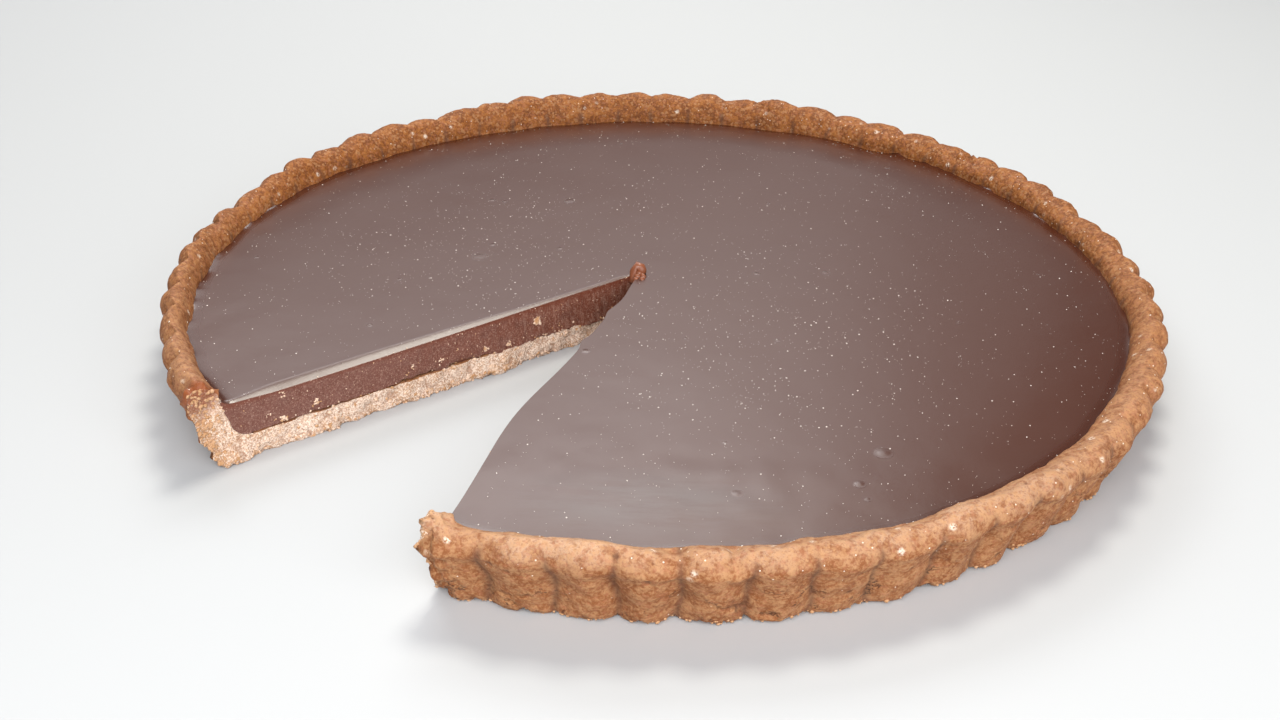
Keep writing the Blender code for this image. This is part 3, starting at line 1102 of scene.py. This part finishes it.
def knife_relief(along, height):
    """The knife's drag on the ganache: how far out and up it goes, and how near the foot it is."""
    place = Vector((along, 0.0, height))
    drag = noise.noise(Vector((along / (1.3 * MM), 0.0, height / (6 * MM))))
    foot = 1.0 - smoothstep(0.2 * MM, 1.8 * MM, height - BASE_THICKNESS)
    parting = ripple(place, 13 * MM, 7.0) + 0.5 * ripple(place, 3 * MM, 9.0)
    apart = smoothstep(0.0, 0.45, parting)
    out = 0.18 * MM * ripple(place, 5 * MM) + 0.08 * MM * drag
    out += foot * (0.20 * MM - 0.7 * MM * apart)
    near_top = 1.0 - smoothstep(FILL_LEVEL - 2.2 * MM, FILL_LEVEL - 0.4 * MM, height)
    lift = 0.75 * MM * apart - 0.45 * MM + 0.35 * MM * ripple(place, 1.5 * MM, 12.0)
    return out * near_top, foot * lift, foot * apart


def place_on_ganache(bearing, index, top, wall, settings, bowed):
    """The point of a row of the ganache at this bearing from the tip, and how curved the skin is."""
    run = direction(bearing)
    edge = TIP + run * reach_to_ring(bearing, INNER_RADIUS_TOP)
    angle = math.atan2(edge.y, edge.x)
    if index >= len(top):
        radius, height = row_between(wall, index - len(top))
        point = TIP + run * reach_to_ring(bearing, radius + inner_shift(angle))
        point.z = height
        return point, 0.0
    low = min(int(index), len(top) - 2)
    share = (top[low] + (top[low + 1] - top[low]) * min(1.0, index - low)) / top[-1]
    reach = reach_to_ring(bearing, contact_radius(angle) + SUNK_EDGE)
    point = TIP + run * (share * reach)
    from_wall = (1.0 - share) * reach - SUNK_EDGE
    point.z = top_of_ganache(point, angle, from_wall, settings)
    along, inside = cut_distance(point, RIGHT_RUN, RIGHT_INTO_GAP)
    if bowed and along > 0.0 and inside > -0.5 * MM:
        point += RIGHT_INTO_GAP * (bow(along) * math.exp(-max(0.0, inside) / BOW_FADE))
    return point, curved_share(from_wall)


def place_rows(bm, layers, top, wall, settings, bowed=False):
    """Move every vert of the swept skin to its place. Only the last placing may be bowed."""
    row_layer, keep_layer, hollow_layer = layers
    for vert in bm.verts:
        if not vert[keep_layer]:
            bearing = bearing_from_tip(vert.co)
            place = place_on_ganache(bearing, vert[row_layer], top, wall, settings, bowed)
            vert.co, vert[hollow_layer] = place


def build_ganache(settings):
    bm = bmesh.new()
    row_layer = bm.verts.layers.float.new("row")
    keep_layer = bm.verts.layers.float.new("keep")
    hollow_layer = bm.verts.layers.float.new("hollow")
    top, wall = ganache_rows(settings.step)
    edge_strip, dense = math.radians(0.12), math.radians(2.2)
    middle = SWEEP - 2 * (dense + edge_strip)
    coarse, dense_cuts = 40, 19
    cuts = round(middle * INNER_RADIUS_TOP / settings.step / coarse) - 1
    ends = [(edge_strip, 1, 0), (dense, 1, dense_cuts)]
    stretches = [*ends, (middle, coarse, cuts), *reversed(ends)]
    sweep(bm, start_chain(bm, [(radius, FILL_LEVEL) for radius in top] + wall, row_layer), stretches)
    at_tip = [vert for vert in bm.verts if vert[row_layer] == 0]
    bmesh.ops.remove_doubles(bm, verts=at_tip, dist=0.01 * MM)
    upper_tip = next(vert for vert in bm.verts if vert[row_layer] == 0)
    upper_tip[keep_layer] = 1.0
    layers = row_layer, keep_layer, hollow_layer
    place_rows(bm, layers, top, wall, settings)
    lower_tip = bm.verts.new(TIP + Vector((0.0, 0.0, BASE_THICKNESS + GAP)))
    lower_tip[keep_layer] = 1.0
    outlines = cut_outlines(bm, row_layer, keep_layer, upper_tip, lower_tip)
    upper_tip[keep_layer] = 0.0
    cap_cuts(bm, keep_layer, outlines, settings.cut_step)
    upper_tip[keep_layer] = 1.0
    refine(bm, row_layer, stretches)
    place_rows(bm, layers, top, wall, settings, bowed=True)
    bmesh.ops.holes_fill(bm, edges=bm.edges, sides=0)
    bmesh.ops.recalc_face_normals(bm, faces=bm.faces)
    for verts, run, into_gap in take_cut_faces(bm):
        for vert in verts:
            along = (vert.co - TIP).dot(run)
            out, lift, apart = knife_relief(along, vert.co.z)
            if vert[keep_layer]:
                vert[hollow_layer] = apart
                out = out * smoothstep(0.0, 3 * MM, along)
                out += bow(along) if run is RIGHT_RUN else 0.0
                vert.co += into_gap * out
                vert.co.z += lift
    return finish_mesh(
        bm, "ganache", [ganache_material(settings), ganache_cut_material(settings)], math.radians(50)
    )


# Bits ---------------------------------------------------------------------------------------


def skin(name, keep):
    """Centres and normals of a piece's faces that pass the test, ordered by place."""
    piece = bpy.data.objects.get(name)
    if piece is None:
        raise RuntimeError(f"{name} has to be made first")
    faces = [(face.center.copy(), face.normal.copy()) for face in piece.data.polygons if keep(face)]
    return sorted(faces, key=lambda item: tuple(item[0]))


def add_lump(bm, place, normal, size, rng, detail=1, flat=0.7, rough=0.22):
    """A small uneven lump that sits on a face."""
    tilt = normal.to_track_quat("Z", "Y").to_matrix().to_4x4()
    twist = Matrix.Rotation(rng.uniform(0.0, TURN), 4, "Z")
    stretch = Matrix.Diagonal((rng.uniform(0.85, 1.3), rng.uniform(0.7, 1.0), flat, 1.0))
    matrix = Matrix.Translation(place) @ tilt @ twist @ stretch
    made = bmesh.ops.create_icosphere(bm, subdivisions=detail, radius=size / 2, matrix=matrix)
    for vert in made["verts"]:
        vert.co += (vert.co - place) * (rough * rng.uniform(-1.0, 1.0))


def scatter(lumps):
    """All the lumps in one bmesh, made in small lots because a full mesh slows each new one."""
    bm = bmesh.new()
    lot_size = 60
    for start in range(0, len(lumps), lot_size):
        lot = bmesh.new()
        for lump in lumps[start:start + lot_size]:
            add_lump(lot, *lump)
        mesh = bpy.data.meshes.new("lot")
        lot.to_mesh(mesh)
        lot.free()
        bm.from_mesh(mesh)
        bpy.data.meshes.remove(mesh)
    return bm


# Crumbs that stand out on the first cut: distance from the tip, height, size in mm, and how many
CLINGING = (
    (35.8, 12.0, 1.9, 9),
    (33.3, 6.8, 1.2, 5),
    (45.1, 7.6, 1.2, 4),
    (52.3, 8.4, 1.3, 5),
    (61.1, 11.3, 0.9, 2),
    (66.1, 9.6, 1.2, 3),
    (74.4, 10.3, 0.9, 2),
    (76.0, 8.7, 0.9, 3),
    (101.5, 9.6, 1.5, 3),
    (110.2, 14.6, 1.1, 3),
    (110.6, 7.5, 1.6, 6),
    (114.4, 10.0, 1.0, 3),
    (13.9, 6.2, 1.2, 4),
    (50.5, 1.8, 2.6, 12),
    (47.0, 1.2, 2.0, 8),
    (57.0, 1.2, 1.4, 5),
    (70.0, 1.4, 1.5, 5),
    (99.0, 1.4, 1.8, 7),
    (119.0, 1.2, 1.8, 7),
    (124.0, 1.6, 2.6, 14),
    (128.0, 1.4, 2.0, 10),
    (130.0, 7.0, 2.0, 8),
)


def build_crumbs(settings):
    """Crumbs of pastry: along both cut faces, on the ganache's cut, and at the foot of the wall."""
    rng = random.Random(settings.seed)
    lumps = []

    def strew(places, count, smallest, largest, detail=1, flat=0.7, rough=0.2):
        for place, normal in rng.sample(places, min(len(places), count)):
            aside = Vector([rng.uniform(-0.45, 0.45) * MM for _ in range(3)])
            place = place + aside - normal * aside.dot(normal)
            lumps.append((place, normal, rng.uniform(smallest, largest) * MM, rng, detail, flat, rough))

    pastry = skin("pastry_case", lambda face: face.material_index == CUT_FACE)
    strew(pastry, settings.crumbs, 0.5, 1.3, 2, 0.75, 0.16)
    smear = skin("ganache", lambda face: face.material_index == CUT_FACE)
    low = [item for item in smear if item[0].z < BASE_THICKNESS + 2 * MM]
    strew(low, settings.crumbs // 3, 0.3, 0.9)
    strew(smear, settings.crumbs, 0.15, 0.45)
    for run, _ in CUTS:
        ends = [item for item in pastry if (item[0] - TIP).dot(run) > 127 * MM]
        strew(ends, settings.crumbs // 3, 0.4, 1.2, 2, 0.6, 0.4)
    seam = [item for item in pastry if item[0].z > BASE_THICKNESS - 0.7 * MM]
    strew(seam, settings.crumbs // 2, 0.4, 1.0)
    for along, height, size, count in CLINGING:
        spot = TIP + LEFT_RUN * (along * MM)
        spot.z = height * MM
        near = [item for item in smear + pastry if (item[0] - spot).length < 0.55 * size * MM]
        strew(near * 3, 3 * count, 0.25 * size, 0.55 * size, 2, 0.6, 0.35)
    edge = [item for item in pastry if item[0].z < 1.3 * MM]
    strew(edge, settings.crumbs, 0.4, 1.1, 1, 0.8)
    outside = skin("pastry_case", lambda face: face.material_index == OUTSIDE)
    foot = [item for item in outside if 0.2 * MM < item[0].z < 1.6 * MM]
    strew(foot, 3 * settings.crumbs, 0.4, 1.1, 1, 0.8)
    bm = scatter(lumps)
    for vert in bm.verts:
        vert.co.z = max(vert.co.z, 0.0)
    piece = finish_mesh(bm, "crumbs", [loose_crumb_material(settings)])
    return piece


def build_sugar(settings):
    """Sugar grains baked onto the rim and the upper wall."""
    rng = random.Random(settings.seed + 1)
    rim = skin("pastry_case", lambda face: face.material_index == OUTSIDE and face.center.z > 10 * MM)
    lumps = []
    while len(lumps) < settings.sugar:
        place, normal = rng.choice(rim)
        if place.z > rng.uniform(10, 24) * MM:
            lumps.append((place, normal, rng.uniform(0.18, 0.5) * MM, rng, 1, 0.7, 0.2))
    sugary = plain_material("sugar", settings.sugar_colour, 0.35, 0.5 * MM)
    piece = finish_mesh(scatter(lumps), "sugar", [sugary])
    return piece


def in_the_gap(point, margin):
    """Whether a point is in the missing slice or nearer to it than the margin."""
    left = cut_distance(point, LEFT_RUN, LEFT_INTO_GAP)[1]
    right = cut_distance(point, RIGHT_RUN, RIGHT_INTO_GAP)[1]
    return left < margin and right < margin


def on_ganache(rng, ganache, margin, edge):
    """A random place on the ganache's top, clear of the cuts by a margin and of the wall by an edge."""
    while True:
        angle = rng.uniform(0.0, TURN)
        radius = contact_radius(angle) * math.sqrt(rng.random())
        point = direction(angle) * radius
        from_wall = contact_radius(angle) - radius
        if from_wall > edge and not in_the_gap(point, margin):
            point.z = top_of_ganache(point, angle, from_wall, ganache)
            return point


def speck_share(point):
    """Specks lie thicker in some parts of the top than in others."""
    uneven = 0.5 + 0.5 * ripple(point, 45 * MM, 21.0)
    clouds = [hump(math.hypot(point.x - x, point.y - y), spread) for x, y, spread in SPECK_CLOUDS]
    return 0.10 + 0.25 * uneven + 0.5 * max(clouds)


def build_specks(settings, ganache):
    """Tiny pale specks all over the top of the ganache."""
    rng = random.Random(settings.seed + 2)
    up = Vector((0.0, 0.0, 1.0))
    lumps = []
    while len(lumps) < settings.specks:
        place = on_ganache(rng, ganache, 1.5 * MM, 1.0 * MM)
        if rng.random() < speck_share(place):
            size = (0.14 + 0.32 * rng.random() ** 6) * MM
            lumps.append((place, up, size, rng, 1, 0.8, 0.1))
    speckled = plain_material("specks", settings.speck_colour, 0.5, 0.5 * MM)
    piece = finish_mesh(scatter(lumps), "specks", [speckled])
    return piece


# A blister's outline from its middle outwards: share of its radius, share of its height
DOME = ((0.2, 0.97), (0.4, 0.86), (0.6, 0.65), (0.78, 0.40), (0.95, 0.20), (1.15, 0.07), (1.45, 0.0))
CRATER = ((0.2, 0.15), (0.42, 0.35), (0.62, 0.95), (0.78, 0.85), (0.95, 0.35), (1.4, 0.0))

# How deep a blister's underside lies in the ganache
BLISTER_SUNK = 0.40 * MM

# Blisters that stand out: place, radius and height, in mm
BLISTERS = (
    (51.7, -91.1, 1.8, 0.15),
    (44.8, -103.7, 1.2, 0.12),
    (-30.1, 48.4, 1.5, 0.08),
    (-55.0, 47.7, 0.9, 0.07),
    (-53.8, 6.5, 1.8, 0.06),
    (17.4, -108.8, 1.2, 0.08),
    (-19.2, -48.0, 0.9, 0.12),
)


def add_blister(bm, place, radius, height, outline):
    """Turn a blister's outline about its own axis, sunk a little into the ganache."""
    section = [(0.0, height * outline[0][1] * 1.02)]
    section += [(radius * out, height * up) for out, up in outline]
    section += [(section[-1][0], -BLISTER_SUNK), (0.0, -BLISTER_SUNK)]
    chain = [bm.verts.new(place + Vector((out, 0.0, up))) for out, up in section]
    edges = [bm.edges.new(pair) for pair in zip(chain, chain[1:])]
    bmesh.ops.spin(
        bm, geom=chain + edges, cent=place, axis=(0, 0, 1), angle=TURN, steps=16, use_merge=True
    )


def build_blisters(settings, ganache):
    """Air bubbles that stopped under the skin, and a few that burst and left a rim."""
    rng = random.Random(settings.seed + 3)
    bm = bmesh.new()
    for x, y, radius, height in BLISTERS:
        place = Vector((x * MM, y * MM, 0.0))
        angle = math.atan2(y, x)
        from_wall = contact_radius(angle) - math.hypot(place.x, place.y)
        place.z = top_of_ganache(place, angle, from_wall, ganache)
        add_blister(bm, place, radius * MM, height * MM, DOME)
    burst_every = 9
    for index in range(settings.bubbles):
        place = on_ganache(rng, ganache, 4.0 * MM, 4.0 * MM)
        radius = rng.uniform(0.35, 0.9) * MM
        outline = DOME if index % burst_every else CRATER
        add_blister(bm, place, radius, radius * rng.uniform(0.05, 0.11), outline)
    bmesh.ops.remove_doubles(bm, verts=bm.verts, dist=0.002 * MM)
    bmesh.ops.recalc_face_normals(bm, faces=bm.faces)
    piece = finish_mesh(bm, "blisters", [bpy.data.materials["ganache"]], math.radians(60))
    return piece


# The curl's path from the cut edge over to the tip, in mm from the tip at the ganache's level,
# and its half thickness
CURL = (
    (-2.6, -3.0, -2.2, 0.8),
    (-2.3, -2.2, -0.8, 1.2),
    (-1.9, -1.3, 0.6, 1.5),
    (-1.3, -0.9, 1.8, 1.7),
    (-0.5, -0.9, 1.9, 1.6),
    (0.1, -1.3, 1.1, 1.4),
    (0.3, -1.8, 0.2, 1.2),
)

# The lumps that hang together below it, down the second cut's edge: place and size, in mm
CURL_LUMPS = (
    (-0.4, -1.9, 0.5, 2.6),
    (-0.8, -3.0, -0.3, 2.4),
    (-1.3, -4.4, -0.6, 2.2),
    (0.5, -3.2, 0.1, 1.9),
    (0.3, -4.9, 0.0, 1.7),
    (-1.5, -5.9, -0.7, 1.6),
)


def add_tube(bm, path, thickness, segments):
    """A bar of changing thickness along a path, closed at both ends."""
    heading = (path[1] - path[0]).to_track_quat("Z", "Y").to_matrix().to_4x4()
    start = Matrix.Translation(path[0]) @ heading
    made = bmesh.ops.create_circle(
        bm, cap_ends=True, segments=segments, radius=thickness[0], matrix=start
    )
    ring = made["verts"]
    for index in range(1, len(path)):
        edges = dict.fromkeys(edge for vert in ring for edge in vert.link_edges)
        around = [edge for edge in edges if edge.is_boundary]
        grown = bmesh.ops.extrude_edge_only(bm, edges=around)["geom"]
        ring = [item for item in grown if isinstance(item, bmesh.types.BMVert)]
        before = path[index] - path[index - 1]
        after = path[index + 1] - path[index] if index + 1 < len(path) else before
        turn = before.rotation_difference(after).to_matrix()
        scale = thickness[index] / thickness[index - 1]
        bmesh.ops.translate(bm, verts=ring, vec=before)
        bmesh.ops.rotate(bm, verts=ring, cent=path[index], matrix=turn)
        bmesh.ops.scale(bm, verts=ring, vec=(scale,) * 3, space=Matrix.Translation(-path[index]))
    bmesh.ops.holes_fill(bm, edges=[edge for edge in bm.edges if edge.is_boundary], sides=0)


def build_curl(settings):
    """The curl of ganache that the knife lifted at the tip, with the bits that cling to it."""
    rng = random.Random(settings.seed + 4)
    bm = bmesh.new()
    level = TIP + Vector((0.0, 0.0, FILL_LEVEL))
    path = [level + Vector(place[:3]) * MM for place in CURL]
    add_tube(bm, path, [place[3] * MM for place in CURL], 12)
    up = Vector((0.3, -0.5, 1.0))
    for x, y, z, size in CURL_LUMPS:
        add_lump(bm, level + Vector((x, y, z)) * MM, up, size * MM, rng, 2, 0.8, 0.12)
    for vert in bm.verts:
        vert.co += Vector([0.05 * MM * rng.uniform(-1.0, 1.0) for _ in range(3)])
    bmesh.ops.recalc_face_normals(bm, faces=bm.faces)
    shiny = plain_material("curl", settings.curl_colour, 0.35, 1.5 * MM)
    piece = finish_mesh(bm, "curl", [shiny])
    return piece


# Stage --------------------------------------------------------------------------------------

CAMERA_DISTANCE = 0.398
CAMERA_ELEVATION = math.radians(28.42)
CAMERA_YAW = math.radians(-0.85)
CAMERA_PITCH = math.radians(1.64)
CAMERA_ROLL = math.radians(-1.47)
CAMERA_LENS = 37.97


def build_floor(settings):
    bm = bmesh.new()
    bmesh.ops.create_circle(bm, cap_ends=True, segments=96, radius=6.0)
    mesh = bpy.data.meshes.new("floor")
    bm.to_mesh(mesh)
    bm.free()
    sheet = Sheet("floor")
    mesh.materials.append(sheet.paint(Base_Color=rgba(settings.floor), Roughness=0.8))
    floor = bpy.data.objects.new("floor", mesh)
    bpy.context.scene.collection.objects.link(floor)


def build_surround(settings):
    world = bpy.data.worlds.new("surround")
    world.use_nodes = True
    background = world.node_tree.nodes["Background"]
    background.inputs["Color"].default_value = rgba(settings.sky)
    background.inputs["Strength"].default_value = settings.sky_strength
    bpy.context.scene.world = world


def add_panel_light(name, bearing, elevation, distance, width, height, radiance, colour=(1.0, 1.0, 1.0)):
    """A flat soft light of one even brightness; its bearing is in degrees left of straight behind."""
    light = bpy.data.lights.new(name, "AREA")
    light.shape = "RECTANGLE"
    light.size = width
    light.size_y = height
    light.energy = radiance * width * height * math.pi
    light.color = colour
    lamp = bpy.data.objects.new(name, light)
    turn = Matrix.Rotation(math.radians(bearing), 4, "Z")
    turn = turn @ Matrix.Rotation(math.radians(elevation - 90), 4, "X")
    lamp.matrix_world = turn @ Matrix.Translation((0.0, 0.0, distance))
    lamp.visible_camera = False
    bpy.context.scene.collection.objects.link(lamp)


def build_camera():
    camera = bpy.data.cameras.new("camera")
    camera.lens = CAMERA_LENS
    camera.sensor_width = 36.0
    camera.clip_start = 0.01
    mount = bpy.data.objects.new("camera", camera)
    away = Vector((0.0, -math.cos(CAMERA_ELEVATION), math.sin(CAMERA_ELEVATION)))
    turn = Matrix.Rotation(TURN / 4 - CAMERA_ELEVATION, 4, "X")
    turn = turn @ Matrix.Rotation(-CAMERA_YAW, 4, "Y")
    turn = turn @ Matrix.Rotation(-CAMERA_PITCH, 4, "X")
    turn = turn @ Matrix.Rotation(-CAMERA_ROLL, 4, "Z")
    mount.matrix_world = Matrix.Translation(away * CAMERA_DISTANCE) @ turn
    bpy.context.scene.collection.objects.link(mount)
    bpy.context.scene.camera = mount


# Add-on -------------------------------------------------------------------------------------


class TART_OT_crust(bpy.types.Operator):
    """Make the fluted pastry case with its two broken cut faces"""

    bl_idname = "tart.make_crust"
    bl_label = "Pastry case"

    def execute(self, context):
        piece = build_crust(context.scene.tart_crust)
        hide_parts("crust")
        return {"FINISHED"}


class TART_OT_ganache(bpy.types.Operator):
    """Make the ganache filling with the top edge of its first cut rounded"""

    bl_idname = "tart.make_ganache"
    bl_label = "Ganache"

    def execute(self, context):
        piece = build_ganache(context.scene.tart_ganache)
        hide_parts("filling")
        return {"FINISHED"}


class TART_OT_crumbs(bpy.types.Operator):
    """Scatter crumbs on the cut faces and along the foot of the wall"""

    bl_idname = "tart.make_crumbs"
    bl_label = "Crumbs"

    def execute(self, context):
        build_crumbs(context.scene.tart_bits)
        return {"FINISHED"}


class TART_OT_sugar(bpy.types.Operator):
    """Scatter sugar grains on the rim"""

    bl_idname = "tart.make_sugar"
    bl_label = "Sugar grains"

    def execute(self, context):
        build_sugar(context.scene.tart_bits)
        return {"FINISHED"}


class TART_OT_specks(bpy.types.Operator):
    """Scatter tiny pale specks on the ganache"""

    bl_idname = "tart.make_specks"
    bl_label = "Specks"

    def execute(self, context):
        build_specks(context.scene.tart_bits, context.scene.tart_ganache)
        return {"FINISHED"}


class TART_OT_blisters(bpy.types.Operator):
    """Raise small air blisters on the ganache"""

    bl_idname = "tart.make_blisters"
    bl_label = "Blisters"

    def execute(self, context):
        build_blisters(context.scene.tart_bits, context.scene.tart_ganache)
        return {"FINISHED"}


class TART_OT_curl(bpy.types.Operator):
    """Make the small curl of ganache at the tip of the missing slice"""

    bl_idname = "tart.make_curl"
    bl_label = "Curl"

    def execute(self, context):
        build_curl(context.scene.tart_bits)
        return {"FINISHED"}


class TART_OT_stage(bpy.types.Operator):
    """Set the floor, the lights and the camera"""

    bl_idname = "tart.make_stage"
    bl_label = "Stage"

    def execute(self, context):
        settings = context.scene.tart_stage
        build_floor(settings)
        build_surround(settings)
        add_panel_light("backdrop_wide", 18, 30.5, 1.20, 1.95, 0.28, settings.backdrop)
        add_panel_light("backdrop", 25, 30.5, 1.20, 1.60, 0.28, settings.backdrop)
        add_panel_light("key_wide", 14, 46, 1.20, 1.05, 0.38, settings.key)
        add_panel_light("key", 20, 46, 1.20, 0.85, 0.38, settings.key)
        add_panel_light("overhead", -20, 70, 1.00, 0.30, 0.28, settings.overhead, (1.0, 0.97, 0.87))
        add_panel_light("front", 172, 40, 0.67, 0.40, 0.30, settings.front)
        add_panel_light("side", -150, 25, 0.90, 1.00, 0.70, settings.side)
        build_camera()
        context.scene.view_settings.view_transform = "Standard"
        return {"FINISHED"}


SETTINGS = (
    ("tart_crust", CrustSettings),
    ("tart_ganache", GanacheSettings),
    ("tart_bits", BitsSettings),
    ("tart_stage", StageSettings),
)

OPERATORS = (
    TART_OT_crust,
    TART_OT_ganache,
    TART_OT_crumbs,
    TART_OT_sugar,
    TART_OT_specks,
    TART_OT_blisters,
    TART_OT_curl,
    TART_OT_stage,
)


class TART_PT_panel(bpy.types.Panel):
    """Lists the tart's pieces in the order they are made"""

    bl_idname = "TART_PT_panel"
    bl_label = "Chocolate tart"
    bl_space_type = "VIEW_3D"
    bl_region_type = "UI"
    bl_category = "Tart"

    def draw(self, context):
        layout = self.layout
        for operator in OPERATORS:
            layout.operator(operator.bl_idname)
        for name, kind in SETTINGS:
            box = layout.box()
            group = getattr(context.scene, name)
            for prop in kind.__annotations__:
                box.prop(group, prop)


def register():
    for name, kind in SETTINGS:
        bpy.utils.register_class(kind)
        setattr(bpy.types.Scene, name, PointerProperty(type=kind))
    for kind in (*OPERATORS, TART_PT_panel):
        bpy.utils.register_class(kind)


def unregister():
    for kind in reversed((*OPERATORS, TART_PT_panel)):
        bpy.utils.unregister_class(kind)
    for name, kind in reversed(SETTINGS):
        delattr(bpy.types.Scene, name)
        bpy.utils.unregister_class(kind)


def main():
    register()
    bpy.ops.tart.make_crust()
    bpy.ops.tart.make_ganache()
    bpy.ops.tart.make_crumbs()
    bpy.ops.tart.make_sugar()
    bpy.ops.tart.make_specks()
    bpy.ops.tart.make_blisters()
    bpy.ops.tart.make_curl()
    bpy.ops.tart.make_stage()


if __name__ == "__main__":
    main()
